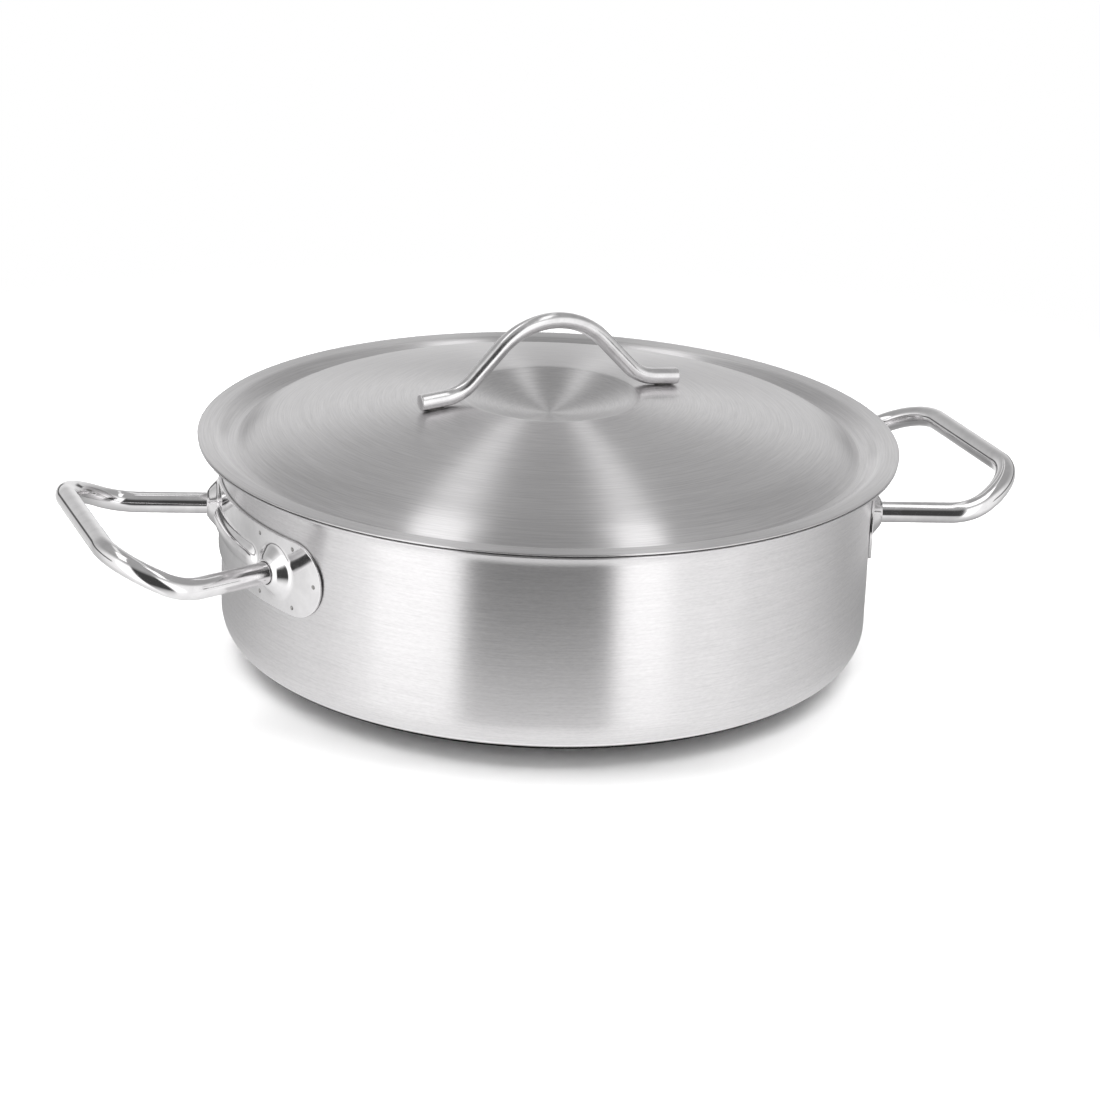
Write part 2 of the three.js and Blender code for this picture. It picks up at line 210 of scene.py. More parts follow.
def addMath(tree, operation, a, b=None, c=None):
    node = addNode(tree, "ShaderNodeMath", operation=operation)
    for socket, value in zip(node.inputs, (a, b, c)):
        feed(tree, socket, value)
    return node.outputs[0]


def feed(tree, socket, value):
    if value is None:
        return
    if isinstance(value, bpy.types.NodeSocket):
        tree.links.new(value, socket)
    else:
        socket.default_value = value


def addRange(tree, value, low, high, toLow, toHigh, smooth=False):
    node = addNode(tree, "ShaderNodeMapRange", interpolation_type="SMOOTHSTEP" if smooth else "LINEAR")
    for socket, number in zip(node.inputs[:5], (value, low, high, toLow, toHigh)):
        feed(tree, socket, number)
    return node.outputs[0]


def addNoise(tree, vector, scale, detail, roughness=0.5):
    node = addNode(tree, "ShaderNodeTexNoise")
    feed(tree, node.inputs["Vector"], vector)
    node.inputs["Scale"].default_value = scale
    node.inputs["Detail"].default_value = detail
    node.inputs["Roughness"].default_value = roughness
    return node.outputs["Fac"]


def addGroup(tree, group, **values):
    node = addNode(tree, "ShaderNodeGroup", node_tree=group)
    for key, value in values.items():
        feed(tree, node.inputs[key], value)
    return node


def mixColour(tree, amount, dark, light):
    node = addNode(tree, "ShaderNodeMix", data_type="RGBA")
    for name, value in (("Factor_Float", amount), ("A_Color", dark), ("B_Color", light)):
        feed(tree, next(s for s in node.inputs if s.identifier == name), value)
    return next(s for s in node.outputs if s.identifier == "Result_Color")


def addMix(tree, amount, one, other):
    node = addNode(tree, "ShaderNodeMixShader")
    for socket, source in zip(node.inputs, (amount, one, other)):
        tree.links.new(source, socket)
    return node.outputs[0]


def addBump(tree, shader, height, strength, distance):
    bump = addNode(tree, "ShaderNodeBump")
    bump.inputs["Strength"].default_value = strength
    bump.inputs["Distance"].default_value = distance
    tree.links.new(height, bump.inputs["Height"])
    tree.links.new(bump.outputs[0], shader.inputs["Normal"])


def newMaterial(name):
    material = bpy.data.materials.new(name)
    material.use_nodes = True
    tree = material.node_tree
    return material, tree, tree.nodes["Principled BSDF"]


# shared finishes

grain = {
    "fineDetail": 2, "richDetail": 4, "roughness": 0.6,
    "hairlineStreaks": 2.2, "hairlineFiner": 1.9, "fleckFiner": 1.4,        # against the lines
    "low": 0.25, "high": 0.75, "markLow": 0.3, "markHigh": 0.7,        # the part of the noise that is used
    "lineRelief": 0.02 * mm, "dentRelief": 0.1 * mm,
    "acrossLines": 0.25,        # a quarter turn, so that the gloss spreads across the lines
}


def makeBrushedRings():
    # fine lines that run round the pot's axis, from the length across the lines
    tree = bpy.data.node_groups.new("brushedRings", "ShaderNodeTree")
    addSocket(tree, "across", "NodeSocketFloat", 0.0)
    addSocket(tree, "pitch", "NodeSocketFloat", 1 * mm)
    addSocket(tree, "streaks", "NodeSocketFloat", 4.0)
    addSocket(tree, "flecks", "NodeSocketFloat", 80.0)
    addSocket(tree, "line", "NodeSocketFloat", out=True)
    addSocket(tree, "hairline", "NodeSocketFloat", out=True)
    addSocket(tree, "fleck", "NodeSocketFloat", out=True)
    inputs, outputs = groupEnds(tree)
    flat = addNode(tree, "ShaderNodeVectorMath", operation="MULTIPLY")
    tree.links.new(objectPlace(tree), flat.inputs[0])
    flat.inputs[1].default_value = (1, 1, 0)
    ring = addNode(tree, "ShaderNodeVectorMath", operation="NORMALIZE")
    tree.links.new(flat.outputs[0], ring.inputs[0])
    spread = addMath(tree, "DIVIDE", inputs.outputs["across"], inputs.outputs["pitch"])
    finerStreaks = addMath(tree, "MULTIPLY", inputs.outputs["streaks"], grain["hairlineStreaks"])
    lines = (
        ("line", 1, inputs.outputs["streaks"]),
        ("hairline", grain["hairlineFiner"], finerStreaks),
        ("fleck", grain["fleckFiner"], inputs.outputs["flecks"]),
    )
    for name, finer, pieces in lines:
        stretch = addNode(tree, "ShaderNodeVectorMath", operation="SCALE")
        tree.links.new(ring.outputs[0], stretch.inputs[0])
        tree.links.new(pieces, stretch.inputs["Scale"])
        rise = addNode(tree, "ShaderNodeCombineXYZ")
        tree.links.new(addMath(tree, "MULTIPLY", spread, finer), rise.inputs["Z"])
        joined = addNode(tree, "ShaderNodeVectorMath", operation="ADD")
        tree.links.new(stretch.outputs[0], joined.inputs[0])
        tree.links.new(rise.outputs[0], joined.inputs[1])
        noise = addNoise(tree, joined.outputs[0], 1, grain["fineDetail"], grain["roughness"])
        tree.links.new(addRange(tree, noise, grain["low"], grain["high"], 0, 1), outputs.inputs[name])
    return tree


def makeHandMarks():
    # broad soft marks that polishing and hands leave
    tree = bpy.data.node_groups.new("handMarks", "ShaderNodeTree")
    addSocket(tree, "size", "NodeSocketFloat", 20 * mm)
    addSocket(tree, "mark", "NodeSocketFloat", out=True)
    inputs, outputs = groupEnds(tree)
    wide = addNode(tree, "ShaderNodeVectorMath", operation="SCALE")
    tree.links.new(objectPlace(tree), wide.inputs[0])
    tree.links.new(addMath(tree, "DIVIDE", 1.0, inputs.outputs["size"]), wide.inputs["Scale"])
    noise = addNoise(tree, wide.outputs[0], 1, grain["richDetail"], grain["roughness"])
    mark = addRange(tree, noise, grain["markLow"], grain["markHigh"], 0, 1, smooth=True)
    tree.links.new(mark, outputs.inputs["mark"])
    return tree


brushedRings = makeBrushedRings()
handMarks = makeHandMarks()


def brushedSteel(name, look):
    material, tree, shader = newMaterial(name)
    across = addNode(tree, "ShaderNodeAttribute", attribute_name="across")
    rings = addGroup(tree, brushedRings, across=across.outputs["Fac"], pitch=look["pitch"],
                     streaks=look["streaks"], flecks=look["flecks"])
    marks = addGroup(tree, handMarks, size=look["markSize"])
    line = addMath(tree, "MULTIPLY", rings.outputs["line"], look["lineShare"])
    hairline = addMath(tree, "MULTIPLY_ADD", rings.outputs["hairline"], look["hairlineShare"], line)
    brush = addMath(tree, "MULTIPLY_ADD", rings.outputs["fleck"], look["fleckShare"], hairline)
    feed(tree, shader.inputs["Base Color"], mixColour(tree, brush, look["darkLine"], look["lightLine"]))
    worn = addMath(tree, "MULTIPLY_ADD", marks.outputs["mark"], look["markRoughness"], look["roughness"])
    feed(tree, shader.inputs["Roughness"], addMath(tree, "MULTIPLY_ADD", brush, look["lineRoughness"], worn))
    shader.inputs["Metallic"].default_value = 1
    shader.inputs["Anisotropic"].default_value = look["anisotropy"]
    shader.inputs["Anisotropic Rotation"].default_value = grain["acrossLines"]
    tangent = addNode(tree, "ShaderNodeTangent", direction_type="RADIAL", axis="Z")
    tree.links.new(tangent.outputs[0], shader.inputs["Tangent"])
    addBump(tree, shader, brush, look["lineDepth"], grain["lineRelief"])
    return material


def polishedSteel(name, look):
    material, tree, shader = newMaterial(name)
    marks = addGroup(tree, handMarks, size=look["markSize"])
    mark = marks.outputs["mark"]
    feed(tree, shader.inputs["Base Color"], mixColour(tree, mark, look["darkTone"], look["lightTone"]))
    feed(tree, shader.inputs["Roughness"],
         addMath(tree, "MULTIPLY_ADD", mark, look["markRoughness"], look["roughness"]))
    shader.inputs["Metallic"].default_value = 1
    ripple = addNoise(tree, objectPlace(tree), 1 / look["rippleSize"], grain["fineDetail"])
    addBump(tree, shader, ripple, look["ripple"], grain["dentRelief"])
    return material


def rawMetal(name, look):
    material, tree, shader = newMaterial(name)
    cast = addNoise(tree, objectPlace(tree), 1 / look["grainSize"], grain["richDetail"], grain["roughness"])
    feed(tree, shader.inputs["Base Color"], mixColour(tree, cast, look["darkTone"], look["lightTone"]))
    feed(tree, shader.inputs["Roughness"],
         addMath(tree, "MULTIPLY_ADD", cast, look["grainRoughness"], look["roughness"]))
    shader.inputs["Metallic"].default_value = 1
    addBump(tree, shader, cast, look["grainDepth"], grain["dentRelief"])
    return material


wallFinish = {
    "darkLine": (0.66, 0.65, 0.655, 1), "lightLine": (0.90, 0.887, 0.893, 1),
    "pitch": 1.0 * mm, "streaks": 5.0, "flecks": 60.0,
    "lineShare": 0.3, "hairlineShare": 0.3, "fleckShare": 0.4,
    "roughness": 0.28, "lineRoughness": 0.05, "markRoughness": 0.02, "markSize": 60 * mm,
    "anisotropy": 0.97, "lineDepth": 0.5,
}
lidFinish = {
    "darkLine": (0.62, 0.611, 0.615, 1), "lightLine": (0.87, 0.858, 0.864, 1),
    "pitch": 0.8 * mm, "streaks": 3.5, "flecks": 40.0,
    "lineShare": 0.45, "hairlineShare": 0.45, "fleckShare": 0.1,
    "roughness": 0.28, "lineRoughness": 0.03, "markRoughness": 0.01, "markSize": 50 * mm,
    "anisotropy": 0.98, "lineDepth": 0.3,
}
dishFinish = {        # as on the lid, but with darker colours, a little rougher and less anisotropic
    **lidFinish, "darkLine": (0.54, 0.532, 0.536, 1), "lightLine": (0.76, 0.75, 0.755, 1),
    "roughness": 0.3, "anisotropy": 0.86,
}
capFinish = {
    "darkLine": (0.5, 0.493, 0.496, 1), "lightLine": (0.72, 0.71, 0.715, 1),
    "pitch": 1.4 * mm, "streaks": 6.0, "flecks": 60.0,
    "lineShare": 0.4, "hairlineShare": 0.3, "fleckShare": 0.3,
    "roughness": 0.34, "lineRoughness": 0.08, "markRoughness": 0.06, "markSize": 40 * mm,
    "anisotropy": 0.8, "lineDepth": 0.4,
}
brightFinish = {
    "darkTone": (0.78, 0.77, 0.776, 1), "lightTone": (0.86, 0.85, 0.856, 1),
    "roughness": 0.07, "markRoughness": 0.05, "markSize": 9 * mm, "ripple": 0.06, "rippleSize": 7 * mm,
}
rodFinish = {
    "darkTone": (0.76, 0.75, 0.756, 1), "lightTone": (0.86, 0.85, 0.856, 1),
    "roughness": 0.17, "markRoughness": 0.06, "markSize": 6 * mm, "ripple": 0.08, "rippleSize": 5 * mm,
}
weldFinish = {
    "darkTone": (0.2, 0.195, 0.19, 1), "lightTone": (0.5, 0.49, 0.48, 1),
    "roughness": 0.3, "grainRoughness": 0.2, "grainSize": 0.5 * mm, "grainDepth": 0.4,
}
aluminiumFinish = {
    "darkTone": (0.6, 0.605, 0.61, 1), "lightTone": (0.76, 0.765, 0.77, 1),
    "roughness": 0.4, "grainRoughness": 0.2, "grainSize": 3 * mm, "grainDepth": 0.2,
}
wallSteel = brushedSteel("wallSteel", wallFinish)
lidSteel = brushedSteel("lidSteel", lidFinish)
dishSteel = brushedSteel("dishSteel", dishFinish)
capSteel = brushedSteel("capSteel", capFinish)
brightSteel = polishedSteel("brightSteel", brightFinish)
rodSteel = polishedSteel("rodSteel", rodFinish)
weldMetal = rawMetal("weldMetal", weldFinish)
spreaderMetal = rawMetal("spreaderMetal", aluminiumFinish)
print("materials made")


# pot, one drawn sheet with a flared rim

pot = {
    "wallRadius": 160 * mm, "sheet": 1 * mm, "corner": 17 * mm, "flare": 8 * mm,
    "settle": 0.5 * mm,        # the rim lies this much under its seat, which opens the gap below the lid
    "polishBelow": -0.64,        # where the bottom corner faces down more than this, it is polished
    "sides": 256, "arcStep": math.radians(5), "longest": 4 * mm, "edgeSteps": 8,
}
potLow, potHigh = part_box("pot_body")
rimRadius = potHigh.x
rimTop = potHigh.z


def makePot():
    lip = rimTop - pot["sheet"] - pot["settle"]
    outside = filletPath([
        (0, potLow.z, 0),
        (pot["wallRadius"], potLow.z, pot["corner"]),
        (pot["wallRadius"], lip, pot["flare"]),
        (rimRadius - pot["sheet"] / 2, lip, 0),
    ], pot["arcStep"])
    outline = sheetOutline(splitLong(outside, pot["longest"]), pot["sheet"], pot["edgeSteps"])
    piece = addPiece("potWall", lathe("potWall", outline, pot["sides"]))
    piece.data.materials.append(wallSteel)
    piece.data.materials.append(brightSteel)
    for face in piece.data.polygons:
        atFoot = face.center.z < potLow.z + pot["corner"] and face.normal.z < pot["polishBelow"]
        face.material_index = 1 if atFoot else 0
    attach(piece, "pot")
    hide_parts("pot_body")


cap = {
    "sheet": 0.8 * mm, "corner": 2.4 * mm,
    "sides": 192, "arcStep": math.radians(10), "longest": 5 * mm, "edgeSteps": 6,
}


def makeBaseCap():
    low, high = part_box("base_cap")
    underside = filletPath([
        (0, low.z, 0),
        (high.x, low.z, cap["corner"]),
        (high.x, high.z - cap["sheet"] / 2, 0),
    ], cap["arcStep"])
    outline = sheetOutline(splitLong(underside, cap["longest"]), cap["sheet"], cap["edgeSteps"])
    piece = addPiece("baseCap", lathe("baseCap", outline, cap["sides"]))
    piece.data.materials.append(capSteel)
    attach(piece, "pot")
    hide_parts("base_cap")


makePot()
makeBaseCap()
dress("heat_spreader", spreaderMetal)
print("pot and base made")


# lid, one pressed sheet: flange, valley, dome and a dish in the middle

lid = {
    "sheet": 0.8 * mm, "gap": 0.3 * mm, "turn": math.radians(4),
    "valleyOuter": 156.5 * mm, "valleyInner": 152.5 * mm, "valleyDepth": 4.5 * mm,
    "flangeInner": 162 * mm, "domeFoot": 150.5 * mm, "domeFootHeight": 1.5 * mm, "shoulder": 143 * mm,
    "domeRadius": 560 * mm, "dishRadius": 44 * mm, "dishDepth": 10 * mm,
    "dishFillet": 5 * mm, "shoulderFillet": 42 * mm, "valleyFillet": 1.8 * mm, "flangeFillet": 6 * mm,
    "sides": 256, "arcStep": math.radians(6), "longest": 3.5 * mm, "edgeSteps": 8,
    "dishSteps": 12, "domeSteps": 26,
}
flangeTop = rimTop + lid["gap"] + lid["sheet"]
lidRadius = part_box("lid_shell")[1].x
domeCentre = flangeTop + lid["domeFootHeight"] - math.sqrt(lid["domeRadius"] ** 2 - lid["domeFoot"] ** 2)


def domeHeight(r):
    return domeCentre + math.sqrt(lid["domeRadius"] ** 2 - r ** 2)


def makeLid():
    dishEdge = domeHeight(lid["dishRadius"])
    dishSphere = (lid["dishRadius"] ** 2 + lid["dishDepth"] ** 2) / (2 * lid["dishDepth"])
    dishCentre = dishEdge - lid["dishDepth"] + dishSphere
    corners = []
    for k in range(lid["dishSteps"]):
        r = lid["dishRadius"] * k / lid["dishSteps"]
        corners.append((r, dishCentre - math.sqrt(dishSphere ** 2 - r ** 2), 0))
    corners.append((lid["dishRadius"], dishEdge, lid["dishFillet"]))
    shoulderTop = domeHeight(lid["shoulder"])
    domeSlope = math.asin(lid["shoulder"] / lid["domeRadius"])
    wallSlope = math.atan2(shoulderTop - flangeTop + lid["valleyDepth"], lid["valleyInner"] - lid["shoulder"])
    bend = lid["shoulderFillet"] * math.tan((wallSlope - domeSlope) / 2)
    for k in range(1, lid["domeSteps"] + 1):        # the dome, as far as the bend of the shoulder
        r = lid["dishRadius"] + (lid["shoulder"] - bend - lid["dishRadius"]) * k / lid["domeSteps"]
        corners.append((r, domeHeight(r), 0))
    corners += [
        (lid["shoulder"], shoulderTop, lid["shoulderFillet"]),
        (lid["valleyInner"], flangeTop - lid["valleyDepth"], lid["valleyFillet"]),
        (lid["valleyOuter"], flangeTop - lid["valleyDepth"], lid["valleyFillet"]),
        (lid["flangeInner"], flangeTop, lid["flangeFillet"]),
        (lidRadius - lid["sheet"] / 2, flangeTop, 0),
    ]
    top = splitLong(filletPath(corners, lid["arcStep"]), lid["longest"])
    outline = sheetOutline(top, -lid["sheet"], lid["edgeSteps"])
    piece = addPiece("lidSheet", lathe("lidSheet", outline, lid["sides"]))
    piece.data.materials.append(lidSteel)
    piece.data.materials.append(dishSteel)
    for face in piece.data.polygons:
        inDish = face.center.xy.length < lid["dishRadius"] and face.normal.z > 0
        face.material_index = 1 if inDish else 0
    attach(piece, "lid")
    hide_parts("lid_shell")


makeLid()
print("lid made")


# bars and tubes swept along a path by one node tree

def makeSweepTree():
    tree = bpy.data.node_groups.new("sweptBar", "GeometryNodeTree")
    addSocket(tree, "path", "NodeSocketGeometry")
    addSocket(tree, "radius", "NodeSocketFloat", 5 * mm)
    addSocket(tree, "sides", "NodeSocketInt", 40)
    addSocket(tree, "closedEnds", "NodeSocketBool", True)
    addSocket(tree, "finish", "NodeSocketMaterial")
    addSocket(tree, "bar", "NodeSocketGeometry", out=True)
    inputs, outputs = groupEnds(tree)
    line = tree.nodes.new("GeometryNodeMeshToCurve")
    section = tree.nodes.new("GeometryNodeCurvePrimitiveCircle")
    sweep = tree.nodes.new("GeometryNodeCurveToMesh")
    smooth = tree.nodes.new("GeometryNodeSetShadeSmooth")
    real = tree.nodes.new("GeometryNodeRealizeInstances")
    finish = tree.nodes.new("GeometryNodeSetMaterial")
    joinUp(tree,
           (inputs.outputs["path"], line.inputs["Mesh"]),
           (inputs.outputs["radius"], section.inputs["Radius"]),
           (inputs.outputs["sides"], section.inputs["Resolution"]),
           (line.outputs["Curve"], sweep.inputs["Curve"]),
           (section.outputs["Curve"], sweep.inputs["Profile Curve"]),
           (inputs.outputs["closedEnds"], sweep.inputs["Fill Caps"]),
           (sweep.outputs["Mesh"], smooth.inputs["Geometry"]),
           (smooth.outputs["Geometry"], real.inputs["Geometry"]),
           (real.outputs["Geometry"], finish.inputs["Geometry"]),
           (inputs.outputs["finish"], finish.inputs["Material"]),
           (finish.outputs["Geometry"], outputs.inputs["bar"]))
    return tree


def addTree(piece, tree, **values):
    modifier = piece.modifiers.new(tree.name, "NODES")
    modifier.node_group = tree
    for item in tree.interface.items_tree:
        if item.name in values:
            modifier[item.identifier] = values[item.name]


def pathMesh(name, points):
    mesh = bpy.data.meshes.new(name)
    mesh.from_pydata(points, [(k, k + 1) for k in range(len(points) - 1)], [])
    return mesh


sweptBar = makeSweepTree()


# lid handle, a bent rod on two feet

rod = {
    "radius": 4 * mm, "archRadius": 38 * mm, "archSlope": math.radians(46),
    "footBend": 22 * mm, "footRadius": 62 * mm, "footEnd": 7 * mm,
    "touchRadius": 60 * mm, "footGap": 0.3 * mm, "footTilt": math.radians(5.2),
    "sides": 48, "arcStep": math.radians(2.5), "longest": 1.2 * mm,
    "endRound": 0.4 * mm, "endSteps": 3, "endAngle": math.radians(60), "crease": 40,
}


def rodPath():
    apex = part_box("lid_handle")[1].z - rod["radius"]
    footFall = math.tan(rod["footTilt"])
    touch = domeHeight(rod["touchRadius"]) + rod["footGap"] + rod["radius"]
    footHeight = touch - (rod["footRadius"] - rod["touchRadius"]) * footFall
    fall = math.tan(rod["archSlope"])
    # a slope's line starts level with the top of the arch, and meets the foot's line at the bend's corner
    slope = math.tan(rod["archSlope"] / 2) * rod["archRadius"]
    bendX = (apex + slope * fall - footHeight - rod["footRadius"] * footFall) / (fall - footFall)
    bendZ = apex - (bendX - slope) * fall
    endX = rod["footRadius"] + rod["footEnd"]
    endZ = footHeight - rod["footEnd"] * footFall
    corners = [
        (-endX, endZ, 0), (-bendX, bendZ, rod["footBend"]), (-slope, apex, rod["archRadius"]),
        (slope, apex, rod["archRadius"]), (bendX, bendZ, rod["footBend"]), (endX, endZ, 0),
    ]
    path = splitLong(filletPath(corners, rod["arcStep"]), rod["longest"])
    turn = Matrix.Rotation(lid["turn"], 3, "Z")
    return [turn @ Vector((x, 0, z)) for x, z in path]


def makeRod():
    piece = addPiece("lidRod", pathMesh("lidRod", rodPath()))
    addTree(piece, sweptBar, radius=rod["radius"], sides=rod["sides"], closedEnds=True, finish=rodSteel)
    ends = piece.modifiers.new("ends", "BEVEL")
    ends.width = rod["endRound"]
    ends.segments = rod["endSteps"]
    ends.limit_method = "ANGLE"
    ends.angle_limit = rod["endAngle"]
    bakeModifiers(piece)
    shadeSoft(piece.data, rod["crease"])
    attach(piece, "lid")
    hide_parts("lid_handle")


makeRod()
print("lid handle made")


# side handles, bent tube

loop = {
    "radius": 5.28 * mm, "wall": 1 * mm, "drop": 37.8 * mm, "reach": 72.7 * mm, "corner": 29 * mm,
    "bendInset": 30.6 * mm, "bendRadius": 45 * mm, "gripAngle": math.radians(25.7), "endGap": 1.3 * mm,
    "sides": 48, "arcStep": math.radians(2.5), "longest": 1.2 * mm, "crease": 40,
}
bossArc = 49 * mm        # along the wall, from the middle of a plate to a boss
bossAngle = bossArc / pot["wallRadius"]
handleHeight = rimTop - loop["drop"]


def gripRise(x):
    hinge = pot["wallRadius"] + loop["reach"] - loop["bendInset"]
    start = hinge - loop["bendRadius"] * math.tan(loop["gripAngle"] / 2)
    end = start + loop["bendRadius"] * math.sin(loop["gripAngle"])
    if x < start:
        return 0
    if x > end:
        return (x - hinge) * math.tan(loop["gripAngle"])
    return loop["bendRadius"] - math.sqrt(loop["bendRadius"] ** 2 - (x - start) ** 2)


def loopPath(turn):
    gripX = pot["wallRadius"] + loop["reach"]
    cornerY = gripX * math.tan(bossAngle)
    start = pot["wallRadius"] + loop["endGap"]
    startX, startY = start * math.cos(bossAngle), start * math.sin(bossAngle)
    plan = filletPath([
        (startX, -startY, 0), (gripX, -cornerY, loop["corner"]),
        (gripX, cornerY, loop["corner"]), (startX, startY, 0),
    ], loop["arcStep"])
    spin = Matrix.Rotation(turn, 3, "Z")
    return [spin @ Vector((x, y, handleHeight + gripRise(x))) for x, y in splitLong(plan, loop["longest"])]


def makeLoop(hand, turn):
    piece = addPiece(hand + "Loop", pathMesh(hand + "Loop", loopPath(turn)))
    addTree(piece, sweptBar, radius=loop["radius"], sides=loop["sides"], closedEnds=False, finish=brightSteel)
    wall = piece.modifiers.new("wall", "SOLIDIFY")
    wall.thickness = loop["wall"]
    wall.offset = -1
    bakeModifiers(piece)
    shadeSoft(piece.data, loop["crease"])
    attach(piece, "pot")
    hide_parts(hand + "_handle_tube")
    for end in ("front", "back"):
        dress(f"{hand}_tube_weld_{end}", weldMetal)


# handle plates, pressed sheet with two hollow bosses and a bead between them

plate = {
    "gap": 0.3 * mm, "sheet": 1.2 * mm, "height": 37 * mm, "endReach": 32.5 * mm,
    "bossBase": 13 * mm, "bossTip": 6.3 * mm, "bossHeight": 5.6 * mm, "hole": 5.55 * mm,
    "bossShoulder": 8 * mm, "shoulderHeight": 4.4 * mm, "shoulderFillet": 3 * mm,
    "baseFillet": 4.5 * mm, "tipFillet": 0.8 * mm, "lipFillet": 0.35 * mm,
    "lipDepth": 1 * mm, "lipStep": 0.2 * mm,
    "beadHalf": 6 * mm, "beadHeight": 3 * mm, "beadOffset": 15.8 * mm, "beadBlend": 1 * mm,
    "bossPatch": 16.5 * mm, "patchRings": 44, "outerRings": 40, "edgeRound": 0.45 * mm, "edgeRings": 5,
    "roundRays": 132, "beadRays": 60, "arcStep": math.radians(8), "crease": 35,
}
plateFace = pot["wallRadius"] + plate["gap"] + plate["sheet"]
plateHalf = bossArc + plate["endReach"]
endRadius = plate["height"] / 2


def edgeDistance(u, v):
    past = max(abs(u) - (plateHalf - endRadius), 0)
    return endRadius - math.hypot(past, v)


def swell(height, blend):
    return (height + math.hypot(height, blend)) / 2


def beadRise(u, v, inner):
    # a round bead on a straight spine, blended into the sheet
    spine = bossArc - plate["beadOffset"] - plate["beadHalf"]
    away = math.hypot(max(abs(u) - spine, 0), v)
    crown = (plate["beadHalf"] ** 2 + plate["beadHeight"] ** 2) / (2 * plate["beadHeight"])
    depth = crown - plate["beadHeight"] - inner
    radius = crown - inner
    if away < radius:
        height = math.sqrt(radius ** 2 - away ** 2) - depth
    else:
        height = radius - depth - away
    flat = swell(-radius, plate["beadBlend"])
    return max(0, swell(height, plate["beadBlend"]) - flat)


def bossProfiles():
    top = plate["bossHeight"]
    outer = filletPath([
        (plate["hole"], top - plate["lipDepth"], 0), (plate["hole"], top, plate["lipFillet"]),
        (plate["bossTip"], top, plate["tipFillet"]),
        (plate["bossShoulder"], plate["shoulderHeight"], plate["shoulderFillet"]),
        (plate["bossBase"], 0, plate["baseFillet"]), (plate["bossPatch"], 0, 0),
    ], plate["arcStep"])
    inner = filletPath([
        (plate["hole"], top - plate["lipDepth"] - plate["lipStep"], 0),
        (plate["bossBase"] - plate["sheet"], -plate["sheet"], plate["baseFillet"]),
        (plate["bossPatch"], -plate["sheet"], 0),
    ], plate["arcStep"])
    return [evenPath(path, plate["patchRings"]) for path in (outer, inner)]


def evenPath(path, count):
    # as many points as asked, evenly along the path
    lengths = [0]
    for a, b in zip(path, path[1:]):
        lengths.append(lengths[-1] + (b - a).length)
    even = []
    k = 0
    for i in range(count):
        want = lengths[-1] * i / (count - 1)
        while k + 2 < len(lengths) and lengths[k + 1] < want:
            k += 1
        part = (want - lengths[k]) / (lengths[k + 1] - lengths[k])
        even.append(path[k].lerp(path[k + 1], min(1, part)))
    return even


def plateRays():
    # directions round a boss, closer where the bead lies
    beadSide = math.atan2(endRadius, bossArc)
    wide = halfTurn - beadSide
    rays = [-wide + 2 * wide * k / plate["roundRays"] for k in range(plate["roundRays"])]
    rays += [wide + 2 * beadSide * k / plate["beadRays"] for k in range(plate["beadRays"])]
    return rays


def rayLength(angle):
    # from the boss to the outline of its half of the plate
    dx, dy = math.cos(angle), math.sin(angle)
    reach = []
    if dx < 0:
        reach.append(-bossArc / dx)
    if dy:
        reach.append(endRadius / abs(dy))
    length = min(reach) if reach else plateHalf
    centre = plateHalf - endRadius - bossArc        # of the round end, from the boss
    if length * dx > centre or not reach:
        along = centre * dx
        length = along + math.sqrt(along ** 2 - centre ** 2 + endRadius ** 2)
    return length


def onPlate(u, v, height, spin):
    radius = plateFace + height
    angle = u / pot["wallRadius"] + spin
    return (radius * math.cos(angle), radius * math.sin(angle), handleHeight + v)


def flatPlace(angle, ring, shrink):
    # on a ray from the foot of the boss to the outline, with closer rings on the rounded edge
    dx, dy = math.cos(angle), math.sin(angle)
    near = Vector((bossArc + plate["bossPatch"] * dx * shrink, plate["bossPatch"] * dy))
    far = rayLength(angle)
    rim = Vector((bossArc + far * dx, far * dy))
    ahead = (rim - near).normalized()
    if ring <= plate["outerRings"]:
        return near.lerp(rim - ahead * plate["edgeRound"], ring / plate["outerRings"])
    part = 1 - math.sin(halfTurn / 2 * (ring - plate["outerRings"]) / plate["edgeRings"])
    return rim - ahead * (plate["edgeRound"] * part)


def edgeDrop(u, v):
    # how far the outer face falls where it rounds off into the rim
    left = plate["edgeRound"] - max(edgeDistance(u, v), 0)
    if left <= 0:
        return 0
    return plate["edgeRound"] - math.sqrt(max(plate["edgeRound"] ** 2 - left ** 2, 0))


def plateSkin(side, inner, profile, rays, spin):
    # one face of one half of the plate: over the boss first, then over the flat to the rim
    points = []
    for r, h in profile:
        shrink = pot["wallRadius"] / (plateFace + h)
        for angle in rays:
            u, v = bossArc + r * math.cos(angle) * shrink, r * math.sin(angle)
            points.append(onPlate(side * u, v, h + beadRise(u, v, inner), spin))
    for ring in range(1, plate["outerRings"] + plate["edgeRings"] + 1):
        for angle in rays:
            u, v = flatPlace(angle, ring, shrink)
            drop = 0 if inner else edgeDrop(u, v)
            points.append(onPlate(side * u, v, beadRise(u, v, inner) - inner - drop, spin))
    return points


